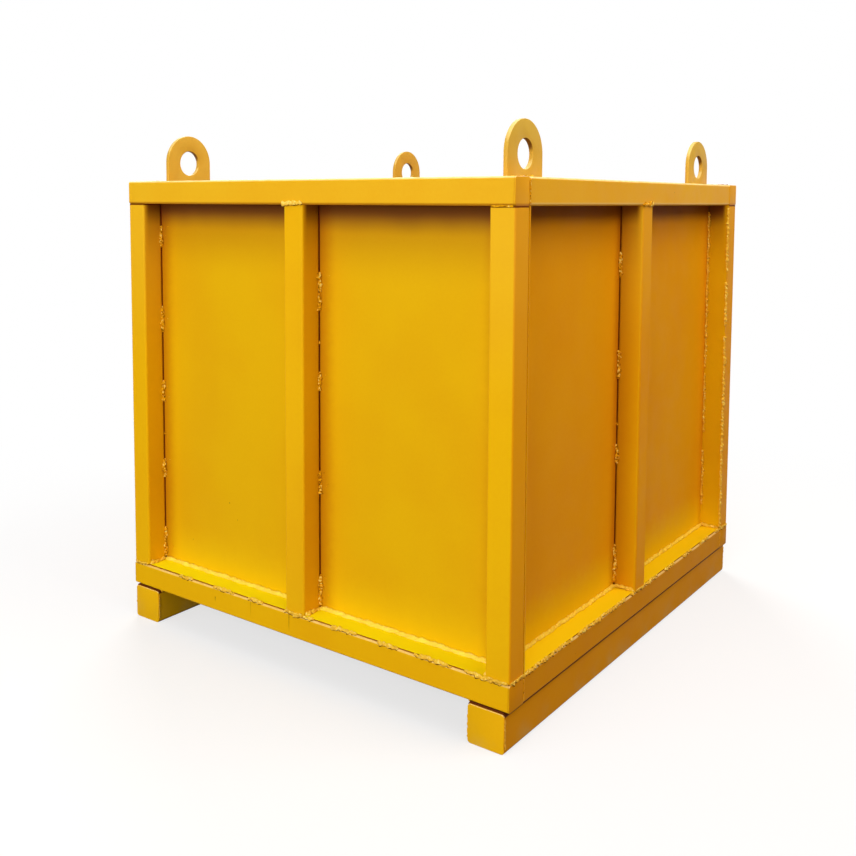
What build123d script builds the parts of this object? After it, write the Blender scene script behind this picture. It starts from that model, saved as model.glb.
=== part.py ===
from build123d import *
import os

# Material lifting box: an open-topped steel box on two skids, lifted by four lugs.
# Millimetres. The origin is on the ground under the middle of the box, +Z is up,
# +X runs along the front to the right, and the front faces -Y.

# Outside of the frame
WIDTH = 1000.0
DEPTH = 1100.0
HEIGHT = 1000.0

# Square tube of the posts and the top rails
FRAME_TUBE = 50.0
FRAME_WALL = 3.2
FRAME_CORNER = 5.0

# Square tube of the base frame
BASE_TUBE = 50.0
BASE_WALL = 3.2
BASE_CORNER = 5.0
JOIST_COUNT = 3

# Square tube of the skids
SKID_TUBE = 75.0
SKID_WALL = 3.2
SKID_CORNER = 6.0
SKID_INSET = 8.0

# Smallest radius that a tube's inner corner is drawn to
INNER_CORNER_MIN = 0.5

# Sheet and plate
FLOOR_THICKNESS = 3.2
FLOOR_INSET = 3.0
PANEL_THICKNESS = 3.2
PANEL_TOP_GAP = 6.0
FRAME_CAP_THICKNESS = 3.0
BASE_CAP_THICKNESS = 3.0
SKID_CAP_THICKNESS = 3.2
SKID_CAP_TOP_GAP = 3.0

# Lifting lugs, cut from flat bar
LUG_WIDTH = 125.0
LUG_THICKNESS = 9.0
LUG_EYE_DIAMETER = 55.0
LUG_EYE_HEIGHT = 42.5
LUG_TAIL = 100.0
LUG_TAIL_CORNER = 10.0
LUG_END_GAP = 10.0

# Levels, from the ground up
BASE_BOTTOM = SKID_TUBE
FLOOR_BOTTOM = BASE_BOTTOM + BASE_TUBE
FLOOR_TOP = FLOOR_BOTTOM + FLOOR_THICKNESS
RAIL_BOTTOM = HEIGHT - FRAME_TUBE
POST_LENGTH = RAIL_BOTTOM - FLOOR_TOP

# Half sizes that the pieces line up on
HALF_WIDTH = WIDTH / 2
HALF_DEPTH = DEPTH / 2
POST_X = HALF_WIDTH - FRAME_TUBE / 2
POST_Y = HALF_DEPTH - FRAME_TUBE / 2
INNER_X = HALF_WIDTH - FRAME_TUBE
INNER_Y = HALF_DEPTH - FRAME_TUBE

LEFT_RIGHT = (("left", -1), ("right", 1))
FRONT_REAR = (("front", -1), ("rear", 1))


def square_tube(start, side, wall, corner, length):
    """A hollow square tube that runs along the start plane's normal."""
    inner_side = side - 2 * wall
    inner_corner = max(corner - wall, INNER_CORNER_MIN)
    with BuildPart() as tube:
        with BuildSketch(start):
            RectangleRounded(side, side, corner)
            RectangleRounded(inner_side, inner_side, inner_corner, mode=Mode.SUBTRACT)
        extrude(amount=length)
    return tube.part


def end_cap(face, width, height, corner, thickness):
    """A plate with rounded corners, laid on the end of a square tube."""
    with BuildPart() as cap:
        with BuildSketch(face):
            RectangleRounded(width, height, corner)
        extrude(amount=thickness)
    return cap.part


def wall_panel(face, width, lap_width):
    """A sheet from the floor plate up to the rails, with a narrower strip that laps a rail."""
    skirt = RAIL_BOTTOM - FLOOR_TOP
    with BuildPart() as panel:
        with BuildSketch(face):
            Rectangle(width, skirt, align=(Align.CENTER, Align.MIN))
            with Locations((0, skirt)):
                Rectangle(lap_width, FRAME_TUBE - PANEL_TOP_GAP, align=(Align.CENTER, Align.MIN))
        extrude(amount=PANEL_THICKNESS)
    return panel.part


def lifting_lug(face):
    """An upright plate with a round head and an eye, drawn with its origin at the rail's top."""
    half = LUG_WIDTH / 2
    with BuildPart() as lug:
        with BuildSketch(face):
            with BuildLine():
                Line((-half, LUG_EYE_HEIGHT), (-half, -LUG_TAIL))
                Line((-half, -LUG_TAIL), (half, -LUG_TAIL))
                Line((half, -LUG_TAIL), (half, LUG_EYE_HEIGHT))
                ThreePointArc(
                    (half, LUG_EYE_HEIGHT),
                    (0, LUG_EYE_HEIGHT + half),
                    (-half, LUG_EYE_HEIGHT),
                )
            make_face()
            with Locations((0, LUG_EYE_HEIGHT)):
                Circle(LUG_EYE_DIAMETER / 2, mode=Mode.SUBTRACT)
        extrude(amount=LUG_THICKNESS)
        tail_corners = lug.edges().filter_by(Axis.X).group_by(Axis.Z)[0]
        fillet(tail_corners, LUG_TAIL_CORNER)
    return lug.part


def save(part, name):
    """Labels a finished piece and writes its file."""
    part.label = name
    export_step(part, f"parts/{name}.step")


os.makedirs("parts", exist_ok=True)

# Skids: closed tubes from front to back, under the left and right edge of the base.
# Their caps stop a little short of the base, so that the tube's top wall shows above them.
skid_x = HALF_WIDTH - SKID_INSET - SKID_TUBE / 2
skid_cap_height = SKID_TUBE - SKID_CAP_TOP_GAP
for side, x_sign in LEFT_RIGHT:
    centre = (x_sign * skid_x, -HALF_DEPTH, SKID_TUBE / 2)
    skid_start = Plane(origin=centre, x_dir=(1, 0, 0), z_dir=(0, 1, 0))
    save(square_tube(skid_start, SKID_TUBE, SKID_WALL, SKID_CORNER, DEPTH), f"skid_{side}")
    for end, y_sign in FRONT_REAR:
        end_centre = (x_sign * skid_x, y_sign * HALF_DEPTH, skid_cap_height / 2)
        skid_end = Plane(origin=end_centre, x_dir=(1, 0, 0), z_dir=(0, y_sign, 0))
        skid_cap = end_cap(skid_end, SKID_TUBE, skid_cap_height, SKID_CORNER, SKID_CAP_THICKNESS)
        save(skid_cap, f"skid_cap_{end}_{side}")

# Base frame: front and rear beams run the full width between their end caps
base_z = BASE_BOTTOM + BASE_TUBE / 2
base_y = HALF_DEPTH - BASE_TUBE / 2
base_end_x = HALF_WIDTH - BASE_CAP_THICKNESS
for end, y_sign in FRONT_REAR:
    beam_start = Plane(origin=(-base_end_x, y_sign * base_y, base_z), x_dir=(0, 1, 0), z_dir=(1, 0, 0))
    beam = square_tube(beam_start, BASE_TUBE, BASE_WALL, BASE_CORNER, 2 * base_end_x)
    save(beam, f"base_beam_{end}")
    for side, x_sign in LEFT_RIGHT:
        beam_end_centre = (x_sign * base_end_x, y_sign * base_y, base_z)
        beam_end = Plane(origin=beam_end_centre, x_dir=(0, 1, 0), z_dir=(x_sign, 0, 0))
        beam_cap = end_cap(beam_end, BASE_TUBE, BASE_TUBE, BASE_CORNER, BASE_CAP_THICKNESS)
        save(beam_cap, f"base_cap_{end}_{side}")

# Base frame: side beams butt between the front and rear beams
base_inner_y = HALF_DEPTH - BASE_TUBE
base_x = HALF_WIDTH - BASE_TUBE / 2
for side, x_sign in LEFT_RIGHT:
    side_beam_start = Plane(
        origin=(x_sign * base_x, -base_inner_y, base_z), x_dir=(1, 0, 0), z_dir=(0, 1, 0)
    )
    side_beam = square_tube(side_beam_start, BASE_TUBE, BASE_WALL, BASE_CORNER, 2 * base_inner_y)
    save(side_beam, f"base_beam_{side}")

# Floor joists: spread evenly between the front and rear beams, butting on the side beams
base_inner_x = HALF_WIDTH - BASE_TUBE
joist_pitch = 2 * base_y / (JOIST_COUNT + 1)
for number in range(1, JOIST_COUNT + 1):
    joist_y = -base_y + number * joist_pitch
    joist_start = Plane(origin=(-base_inner_x, joist_y, base_z), x_dir=(0, 1, 0), z_dir=(1, 0, 0))
    joist = square_tube(joist_start, BASE_TUBE, BASE_WALL, BASE_CORNER, 2 * base_inner_x)
    save(joist, f"floor_joist_{number}")

# Floor plate: covers the base frame, set in a little from its outer faces
with BuildPart() as floor_plate:
    with BuildSketch(Plane.XY.offset(FLOOR_BOTTOM)):
        Rectangle(WIDTH - 2 * FLOOR_INSET, DEPTH - 2 * FLOOR_INSET)
    extrude(amount=FLOOR_THICKNESS)
save(floor_plate.part, "floor_plate")

# Posts: one in each corner and one in the middle of each side, from floor plate to top rail
post_places = {
    f"corner_post_{end}_{side}": (x_sign * POST_X, y_sign * POST_Y)
    for end, y_sign in FRONT_REAR
    for side, x_sign in LEFT_RIGHT
}
post_places.update({f"mid_post_{end}": (0, y_sign * POST_Y) for end, y_sign in FRONT_REAR})
post_places.update({f"mid_post_{side}": (x_sign * POST_X, 0) for side, x_sign in LEFT_RIGHT})
for name, (x, y) in post_places.items():
    post_start = Plane.XY.offset(FLOOR_TOP).move(Location((x, y, 0)))
    save(square_tube(post_start, FRAME_TUBE, FRAME_WALL, FRAME_CORNER, POST_LENGTH), name)

# Top rails: front and rear rails run the full width between their end caps
rail_z = HEIGHT - FRAME_TUBE / 2
rail_end_x = HALF_WIDTH - FRAME_CAP_THICKNESS
for end, y_sign in FRONT_REAR:
    rail_start = Plane(origin=(-rail_end_x, y_sign * POST_Y, rail_z), x_dir=(0, 1, 0), z_dir=(1, 0, 0))
    rail = square_tube(rail_start, FRAME_TUBE, FRAME_WALL, FRAME_CORNER, 2 * rail_end_x)
    save(rail, f"top_rail_{end}")
    for side, x_sign in LEFT_RIGHT:
        rail_end_centre = (x_sign * rail_end_x, y_sign * POST_Y, rail_z)
        rail_end = Plane(origin=rail_end_centre, x_dir=(0, 1, 0), z_dir=(x_sign, 0, 0))
        rail_cap = end_cap(rail_end, FRAME_TUBE, FRAME_TUBE, FRAME_CORNER, FRAME_CAP_THICKNESS)
        save(rail_cap, f"top_rail_cap_{end}_{side}")

# Top rails: side rails butt between the front and rear rails
for side, x_sign in LEFT_RIGHT:
    side_rail_start = Plane(
        origin=(x_sign * POST_X, -INNER_Y, rail_z), x_dir=(1, 0, 0), z_dir=(0, 1, 0)
    )
    side_rail = square_tube(side_rail_start, FRAME_TUBE, FRAME_WALL, FRAME_CORNER, 2 * INNER_Y)
    save(side_rail, f"top_rail_{side}")

# Front and rear panels: full width behind the corner posts, cut back at the top beside the side rails
for end, y_sign in FRONT_REAR:
    panel_face = Plane(
        origin=(0, y_sign * INNER_Y, FLOOR_TOP), x_dir=(y_sign, 0, 0), z_dir=(0, -y_sign, 0)
    )
    save(wall_panel(panel_face, WIDTH, 2 * INNER_X), f"wall_panel_{end}")

# Side panels: between the front and rear panels, on the inner faces of the side rails
side_panel_width = 2 * (INNER_Y - PANEL_THICKNESS)
for side, x_sign in LEFT_RIGHT:
    side_panel_face = Plane(
        origin=(x_sign * INNER_X, 0, FLOOR_TOP), x_dir=(0, -x_sign, 0), z_dir=(-x_sign, 0, 0)
    )
    save(wall_panel(side_panel_face, side_panel_width, side_panel_width), f"wall_panel_{side}")

# Lifting lugs: upright on the side panels' inner faces, eyes above the side rails
lug_x = INNER_X - PANEL_THICKNESS
lug_y = INNER_Y - PANEL_THICKNESS - LUG_END_GAP - LUG_WIDTH / 2
for end, y_sign in FRONT_REAR:
    for side, x_sign in LEFT_RIGHT:
        lug_face = Plane(
            origin=(x_sign * lug_x, y_sign * lug_y, HEIGHT), x_dir=(0, -x_sign, 0), z_dir=(-x_sign, 0, 0)
        )
        save(lifting_lug(lug_face), f"lifting_lug_{end}_{side}")
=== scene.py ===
import functools
import logging
import math
from collections.abc import Callable
from dataclasses import dataclass, field
from enum import Enum

import bpy
import numpy as np
from mathutils import Matrix, Vector


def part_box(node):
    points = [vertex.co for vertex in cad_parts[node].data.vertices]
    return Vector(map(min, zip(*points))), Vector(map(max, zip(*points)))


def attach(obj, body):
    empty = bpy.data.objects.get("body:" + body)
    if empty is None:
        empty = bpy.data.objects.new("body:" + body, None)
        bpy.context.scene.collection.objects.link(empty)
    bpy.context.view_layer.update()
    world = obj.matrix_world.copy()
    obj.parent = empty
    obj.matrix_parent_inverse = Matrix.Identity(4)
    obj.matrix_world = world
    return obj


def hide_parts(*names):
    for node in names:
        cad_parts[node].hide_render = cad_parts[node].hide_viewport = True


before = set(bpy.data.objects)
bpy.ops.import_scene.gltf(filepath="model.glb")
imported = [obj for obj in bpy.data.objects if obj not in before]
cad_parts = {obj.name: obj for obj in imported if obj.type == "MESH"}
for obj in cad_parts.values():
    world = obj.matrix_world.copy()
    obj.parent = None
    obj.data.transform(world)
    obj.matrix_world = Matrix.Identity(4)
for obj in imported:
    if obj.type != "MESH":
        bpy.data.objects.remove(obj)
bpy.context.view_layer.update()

LOG = logging.getLogger("lifting_box")
BODY = "root"
UP = Vector((0.0, 0.0, 1.0))
ENDS = (("front", -1.0), ("rear", 1.0))
SIDES = (("left", -1.0), ("right", 1.0))

Run = tuple[float, float]
Triple = tuple[float, float, float]
Material = bpy.types.Material
Piece = bpy.types.Object
Socket = bpy.types.NodeSocket
Value = Socket | float
Colour = Socket | tuple[float, ...]


class Joint(Enum):
    """The kinds of joint that a weld bead fills, with the angle it shows each side of its crown."""

    FILLET = 50.0
    FLAT = 84.0

    @property
    def limit(self) -> float:
        """The shown half angle in radians."""
        return math.radians(self.value)


class Side(Enum):
    """The four sides of the box."""

    FRONT = "front"
    REAR = "rear"
    LEFT = "left"
    RIGHT = "right"

    @property
    def is_end(self) -> bool:
        """Whether the side is the front or the rear."""
        return self in (Side.FRONT, Side.REAR)

    @property
    def sign(self) -> float:
        """The way that the side looks along its axis."""
        return 1.0 if self in (Side.REAR, Side.RIGHT) else -1.0


class Axis(Enum):
    """The axis that a seam's place is measured on."""

    X = "X"
    Y = "Y"
    Z = "Z"


# Pieces


def select_only(*pieces: Piece) -> None:
    """Selects these pieces and nothing else, and makes the first one active.

    Args:
        pieces: The pieces that the next operator acts on.
    """
    bpy.ops.object.select_all(action="DESELECT")
    for piece in pieces:
        piece.select_set(True)
    bpy.context.view_layer.objects.active = pieces[0]


def new_piece(name: str, data: bpy.types.ID) -> Piece:
    """Puts a new object into the scene.

    Args:
        name: The object's name.
        data: Its mesh, lamp or camera.

    Returns:
        The object.
    """
    piece = bpy.data.objects.new(name, data)
    bpy.context.scene.collection.objects.link(piece)
    return piece


def join(pieces: list[Piece], name: str) -> Piece:
    """Joins several pieces into one.

    Args:
        pieces: The pieces to join.
        name: The name of the joined piece.

    Returns:
        The joined piece.
    """
    select_only(*pieces)
    if len(pieces) > 1:
        bpy.ops.object.join()
    joined = bpy.context.view_layer.objects.active
    joined.name = name
    joined.data.name = name
    return joined


def dress(piece: Piece, material: Material) -> None:
    """Gives a piece one material all over."""
    piece.data.materials.clear()
    piece.data.materials.append(material)


def hand_over(piece: Piece, slot: str, *nodes: str) -> None:
    """Lets a finished piece ride on the box and reports it.

    Args:
        piece: The finished piece.
        slot: The record's material slot of the piece; not used.
        nodes: The CAD nodes that it stands for.
    """
    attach(piece, BODY)
    if nodes:
        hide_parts(*nodes)
    LOG.info("%s: %d faces", piece.name, len(piece.data.polygons))


# The frame's planes


@dataclass(frozen=True)
class BoxFrame:
    """The planes that the pieces line up on, in metres, read from the CAD nodes."""

    half_width: float
    half_depth: float
    inner_x: float
    inner_y: float
    panel_in_x: float
    panel_in_y: float
    plate_inset: float
    base_bottom: float
    floor_bottom: float
    floor_top: float
    rail_bottom: float
    rail_top: float
    panel_top: float
    skid_in: float
    skid_out: float
    skid_cap_top: float
    post_half: float

    @classmethod
    def measured(cls) -> "BoxFrame":
        """Reads the planes.

        Returns:
            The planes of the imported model.
        """
        rail_low, rail_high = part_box("top_rail_right")
        floor_low, floor_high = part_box("floor_plate")
        side_low, side_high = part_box("wall_panel_right")
        skid_low, skid_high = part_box("skid_right")
        post_low, post_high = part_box("mid_post_front")
        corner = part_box("base_cap_rear_right")[1]
        return cls(
            half_width=corner.x,
            half_depth=corner.y,
            inner_x=rail_low.x,
            inner_y=rail_high.y,
            panel_in_x=side_low.x,
            panel_in_y=side_high.y,
            plate_inset=corner.x - floor_high.x,
            base_bottom=skid_high.z,
            floor_bottom=floor_low.z,
            floor_top=floor_high.z,
            rail_bottom=rail_low.z,
            rail_top=rail_high.z,
            panel_top=side_high.z,
            skid_in=skid_low.x,
            skid_out=skid_high.x,
            skid_cap_top=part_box("skid_cap_front_right")[1].z,
            post_half=(post_high.x - post_low.x) / 2,
        )


@dataclass(frozen=True)
class SideFrame:
    """One side of the box, seen from outside: u runs to the right, w outwards and z up."""

    side: Side
    across: Vector
    out: Vector
    half: float
    outer: float
    panel: float
    panel_in: float
    reach: float
    bay: float

    SEED_STEP = 100

    @classmethod
    def of(cls, side: Side, box: BoxFrame) -> "SideFrame":
        """Works out a side's planes.

        Args:
            side: The side.
            box: The box's planes.

        Returns:
            The side's own frame.
        """
        sign = side.sign
        if side.is_end:
            across, out = Vector((-sign, 0, 0)), Vector((0, sign, 0))
            planes = (box.half_depth, box.inner_y, box.panel_in_y, box.half_width, box.inner_x)
        else:
            across, out = Vector((0, sign, 0)), Vector((sign, 0, 0))
            planes = (box.half_width, box.inner_x, box.panel_in_x, box.half_depth, box.panel_in_y)
        return cls(side, across, out, box.post_half, *planes)

    @property
    def name(self) -> str:
        """The side's name in the names of pieces."""
        return self.side.value

    @property
    def is_end(self) -> bool:
        """Whether the side is the front or the rear."""
        return self.side.is_end

    @property
    def seed(self) -> int:
        """The number that the unevenness of the side's welds comes from."""
        return self.SEED_STEP * (list(Side).index(self.side) + 1)

    @property
    def grooves(self) -> tuple[Run, ...]:
        """Where the sheet meets its posts, and 1 if it lies to the right of there, -1 if to the left."""
        return (-self.bay, 1.0), (-self.half, -1.0), (self.half, 1.0), (self.bay, -1.0)

    def at(self, u: float, w: float, z: float) -> Vector:
        """The point to the right of the side's middle, out from the box's middle and up."""
        return self.across * u + self.out * w + UP * z


# Weld beads


@dataclass(frozen=True)
class BeadStyle:
    """How one kind of weld bead was laid."""

    joint: Joint
    leg: float
    crown: float
    ragged: float
    ripple: float = 0.1
    pitch: float = 0.0058
    # pale, toe, glint and lemon set the bead's painted light and shade: a highlight on the crown, shade at
    # one toe, glints, and lemon light as on a face that looks up
    pale: float = 0.0
    toe: float = 1.0
    lump: float = 1.0
    glint: float = 0.25
    lemon: float = 0.0
    pits: float = 1.0
    spacing: float = 0.0014

    def radius(self, angle: np.ndarray) -> np.ndarray:
        """The section's distance from the root.

        Args:
            angle: Angles from the crown, in radians.

        Returns:
            The distance at each angle.
        """
        width = self.leg
        if self.joint is Joint.FILLET:
            width = 1.0 / math.sqrt(2.0 / self.leg**2 - 1.0 / self.crown**2)
        return 1.0 / np.sqrt((np.cos(angle) / self.crown) ** 2 + (np.sin(angle) / width) ** 2)


@dataclass(frozen=True)
class Bead:
    """One stroke of weld along a straight joint."""

    start: Vector
    end: Vector
    face: Vector
    style: BeadStyle
    seed: int

    # relief sets the painted shade at the toe, pale and lemon the painted highlight on the crown, glint the
    # painted glints; pits are real
    MARKS = ("relief", "pale", "glint", "lemon", "pits")
    SHOWN_TURN = math.radians(125)
    ROOT_SHARE = 0.35
    END_SHARE = 0.12
    END_LEGS = 0.9
    DRIFT_LEGS = 0.45
    RIPPLE_BOW = 0.4
    RIPPLE_SHIFT = 0.5
    RIPPLE_LEAN = 0.7
    LUMP_SHARE = 0.6
    LUMP_SKEW = 0.004
    # The painted shade at one toe and the painted highlight on the crown
    TOE_SHARE = 0.7
    TOE_LEAST = 0.25
    RISE_SHARE = 0.3
    CREST_POWER = 5
    PALE_SPREAD = 0.15
    BLOB_SPACING = 0.007
    BLOB_SPREAD = (0.002, 0.004)
    BLOB_RISE = (0.15, 0.5)
    BLOB_BEND = 0.8
    BLOB_WIDTH = 0.55
    # Wavelengths of the unevenness, in metres
    RIPPLE_WAVES = (0.023, 0.041)
    SIZE_WAVES = (0.013, 0.029, 0.061)
    LUMP_WAVES = (0.0075, 0.011)
    DRIFT_WAVES = (0.034, 0.083)
    TOE_WAVES = (0.011, 0.019, 0.047)
    PALE_WAVES = (0.021, 0.047)

    @property
    def length(self) -> float:
        """The stroke's length."""
        return (self.end - self.start).length

    @staticmethod
    def wave(draw: np.random.Generator, along: np.ndarray, lengths: tuple[float, ...]) -> np.ndarray:
        """A smooth uneven line.

        Args:
            draw: The bead's own random draw.
            along: Distances along the bead.
            lengths: Wavelengths that are added up.

        Returns:
            A value from about -1 to 1 at each distance.
        """
        total = np.zeros_like(along)
        for wavelength in lengths:
            total += np.sin(2 * math.pi * (along / wavelength + draw.random()))
        return total / len(lengths)

    def sizes(self, draw: np.random.Generator, along: np.ndarray, tilt: np.ndarray) -> np.ndarray:
        """How much larger or smaller than its style the bead is: waves, ripples and blobs.

        Args:
            draw: The bead's own random draw.
            along: The distance of each vertex along the bead.
            tilt: Its place across the bead, from -1 to 1.

        Returns:
            The share at each vertex.
        """
        style = self.style
        uneven = self.RIPPLE_SHIFT * self.wave(draw, along, self.RIPPLE_WAVES)
        phase = along / style.pitch + self.RIPPLE_BOW * tilt**2 + uneven
        ridge = 0.5 - 0.5 * np.cos(2 * math.pi * np.mod(phase, 1.0) ** self.RIPPLE_LEAN)
        stretch = along / style.lump
        size = 1.0 + style.ragged * self.wave(draw, stretch, self.SIZE_WAVES)
        lumps = self.wave(draw, stretch + tilt * self.LUMP_SKEW, self.LUMP_WAVES)
        size += style.ragged * self.LUMP_SHARE * lumps
        size += style.ripple * (ridge - 0.5)
        for _ in range(int(style.ragged * self.length / (self.BLOB_SPACING * style.lump))):
            centre = draw.random() * self.length
            bend = draw.uniform(-self.BLOB_BEND, self.BLOB_BEND)
            spread = draw.uniform(*self.BLOB_SPREAD) * style.lump
            near = ((along - centre) / spread) ** 2 + ((tilt - bend) / self.BLOB_WIDTH) ** 2
            size += draw.uniform(*self.BLOB_RISE) * np.exp(-near)
        return size

    def shape(self, rod: np.ndarray) -> tuple[np.ndarray, tuple[np.ndarray, ...]]:
        """Shapes a plain rod into this bead.

        Args:
            rod: The vertices of a rod of radius 1 from z 0 to z 1.

        Returns:
            The bead's vertices, and what each one is marked with, in the order of MARKS.
        """
        draw = np.random.default_rng(self.seed)
        style, limit = self.style, self.style.joint.limit
        turn = np.arctan2(rod[:, 1], rod[:, 0])
        rim = np.hypot(rod[:, 0], rod[:, 1]) > 0.5
        along = rod[:, 2] * self.length
        shown = np.abs(turn) <= self.SHOWN_TURN
        spare = (np.abs(turn) - self.SHOWN_TURN) / (math.pi - self.SHOWN_TURN)
        hidden_angle = np.sign(turn) * (limit + spare * (math.pi - limit))
        angle = np.where(shown, turn * limit / self.SHOWN_TURN, hidden_angle)
        tilt = angle / limit
        size = self.sizes(draw, along, tilt)

        dome = np.minimum(along, self.length - along) / (style.leg * self.END_LEGS)
        dome = np.maximum(np.sqrt(1.0 - (1.0 - np.clip(dome, 0.0, 1.0)) ** 2), self.END_SHARE)
        section = style.radius(np.where(shown, angle, 0.0)) * size
        reach = np.where(shown, section, style.leg * self.ROOT_SHARE) * dome * rim
        direction = (self.end - self.start).normalized()
        face = self.face.normalized()
        drift = style.ragged * style.leg * self.DRIFT_LEGS * self.wave(draw, along, self.DRIFT_WAVES)
        points = np.array(self.start)[None, :] + np.outer(along, direction)
        points += np.outer(reach * np.cos(angle), face)
        points += np.outer(reach * np.sin(angle) + drift * dome, direction.cross(face))

        # Painted shade along one toe, lighter where the bead is thick, and a painted highlight on the crown
        # in patches
        toe_wave = self.wave(draw, along, self.TOE_WAVES)
        gaps = np.clip(self.TOE_SHARE + self.TOE_SHARE * toe_wave, self.TOE_LEAST, 1.0)
        low_side = gaps * np.clip(tilt, 0.0, 1.0) ** 2
        relief = np.clip(1.0 - style.toe * low_side + self.RISE_SHARE * (size - 1.0), 0.0, 1.0)
        crest = np.where(shown, 1.0 - min(style.toe, 1.0) * np.abs(tilt) ** self.CREST_POWER, 0.0)
        pale_wave = self.wave(draw, along / style.lump, self.PALE_WAVES)
        patches = 1.0 - self.PALE_SPREAD + self.PALE_SPREAD * pale_wave
        even = [np.full(len(rod), share) for share in (style.glint, style.lemon, style.pits)]
        return points, (np.where(shown, relief, 1.0 - style.toe), style.pale * crest * patches, *even)


@dataclass
class RodStock:
    """Plain rods, one for each number of rings, that beads are shaped from."""

    sides: int = 10
    ring_counts: tuple[int, ...] = (3, 8, 12, 16, 24, 32, 48, 64, 96, 128, 192, 256, 384, 512, 768)
    rods: dict[int, bpy.types.Mesh] = field(default_factory=dict)

    def rod(self, length: float, spacing: float) -> bpy.types.Mesh:
        """A rod with rings enough for a bead.

        Args:
            length: The bead's length.
            spacing: The distance wanted between its rings.

        Returns:
            The rod's mesh, shared with other beads.
        """
        wanted = length / spacing
        rings = next((count for count in self.ring_counts if count >= wanted), self.ring_counts[-1])
        if rings not in self.rods:
            self.rods[rings] = self.model(rings)
        return self.rods[rings]

    def model(self, rings: int) -> bpy.types.Mesh:
        """Models a rod of radius 1 from z 0 to z 1.

        Args:
            rings: The number of spans along it.

        Returns:
            The rod's mesh.
        """
        bpy.ops.object.select_all(action="DESELECT")
        bpy.ops.mesh.primitive_cylinder_add(
            vertices=self.sides, radius=1.0, depth=1.0, end_fill_type="TRIFAN", location=(0.0, 0.0, 0.5)
        )
        rod = bpy.context.object
        bpy.ops.object.transform_apply(location=True)
        bpy.ops.object.mode_set(mode="EDIT")
        bpy.ops.mesh.select_mode(type="EDGE")
        bpy.ops.mesh.select_all(action="DESELECT")
        bpy.ops.object.mode_set(mode="OBJECT")
        heights = [vertex.co.z for vertex in rod.data.vertices]
        for edge in rod.data.edges:
            low, high = edge.vertices
            edge.select = abs(heights[low] - heights[high]) > 0.5
        bpy.ops.object.mode_set(mode="EDIT")
        bpy.ops.mesh.subdivide_edgering(number_cuts=rings - 1, interpolation="LINEAR", smoothness=0.0)
        bpy.ops.object.mode_set(mode="OBJECT")
        bpy.ops.object.shade_smooth()
        mesh = rod.data
        bpy.data.objects.remove(rod)
        return mesh

    def clear(self) -> None:
        """Removes the rods once every bead is made."""
        for mesh in self.rods.values():
            bpy.data.meshes.remove(mesh)
        self.rods.clear()


@dataclass
class Welder:
    """Lays weld beads and joins those of one seam into one piece."""

    stock: RodStock = field(default_factory=RodStock)
    seams: dict[str, list[Bead]] = field(default_factory=dict)
    laid: int = 0

    def lay(self, seam: str, ends: list[Vector], face: Vector, style: BeadStyle) -> None:
        """Lays a bead of one seam between two ends at the joint's root, facing out of the joint."""
        self.laid += 1
        self.seams.setdefault(seam, []).append(Bead(*ends, face, style, self.laid))

    def bead_object(self, bead: Bead) -> Piece:
        """Makes one bead's object.

        Args:
            bead: The bead.

        Returns:
            The object, with its place in its mesh.
        """
        mesh = self.stock.rod(bead.length, bead.style.spacing).copy()
        rod = np.empty(len(mesh.vertices) * 3)
        mesh.vertices.foreach_get("co", rod)
        points, marks = bead.shape(rod.reshape(-1, 3))
        mesh.vertices.foreach_set("co", points.ravel())
        for name, values in zip(Bead.MARKS, marks):
            mesh.attributes.new(name, "FLOAT", "POINT").data.foreach_set("value", values)
        mesh.update()
        return new_piece("bead", mesh)

    def finish(self, material: Material, slot: str) -> None:
        """Makes every seam a piece of the box.

        Args:
            material: The beads' finish.
            slot: The record's material slot of the beads.
        """
        for seam, beads in self.seams.items():
            piece = join([self.bead_object(bead) for bead in beads], seam)
            dress(piece, material)
            hand_over(piece, slot)
        self.stock.clear()


@dataclass(frozen=True)
class Stitching:
    """Short welds along a joint, placed by hand and about even."""

    count: int
    share: float

    LENGTHS = (0.75, 1.3)
    SHIFTS = (0.1, 0.9)

    def runs(self, low: float, high: float, seed: int) -> list[Run]:
        """Places the welds.

        Args:
            low: Where the joint starts.
            high: Where it ends.
            seed: The number that the unevenness comes from.

        Returns:
            The start and end of each weld.
        """
        draw = np.random.default_rng(seed)
        pitch = (high - low) / self.count
        runs = []
        for number in range(self.count):
            length = pitch * self.share * draw.uniform(*self.LENGTHS)
            start = low + number * pitch + draw.uniform(*self.SHIFTS) * (pitch - length)
            runs.append((start, start + length))
        return runs


# Colours


@dataclass(frozen=True)
class Shade:
    """A colour as a screen shows it, from 0 to 255."""

    red: int
    green: int
    blue: int

    def linear(self) -> tuple[float, ...]:
        """The colour as Blender's sockets take it."""
        shares = [value / 255.0 for value in (self.red, self.green, self.blue)]
        return *(s / 12.92 if s <= 0.04045 else ((s + 0.055) / 1.055) ** 2.4 for s in shares), 1.0


YELLOW = Shade(246, 188, 13)
AMBER = Shade(236, 164, 12)
# A bluer copy of the yellow for the top rails: painted reflection of the sky
TOP_YELLOW = Shade(243, 188, 32)
# A darker copy of the yellow for the end sheets: painted shade
PANEL_YELLOW = Shade(238, 184, 9)
PANEL_AMBER = Shade(228, 160, 9)
# Painted light on the front and rear ledges, painted shade on the side ledges
LEDGE_PAINTED_LIGHT = Shade(255, 236, 14)
SIDE_LEDGE_PAINTED_SHADE = Shade(250, 208, 16)
FOOT_YELLOW = Shade(248, 206, 10)
# A duller, bluer copy of the yellow for the lugs, standing in for how they are lit: painted light
LUG_YELLOW = Shade(212, 170, 55)
LUG_AMBER = Shade(204, 150, 47)
WELD_AMBER = Shade(240, 172, 14)
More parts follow.
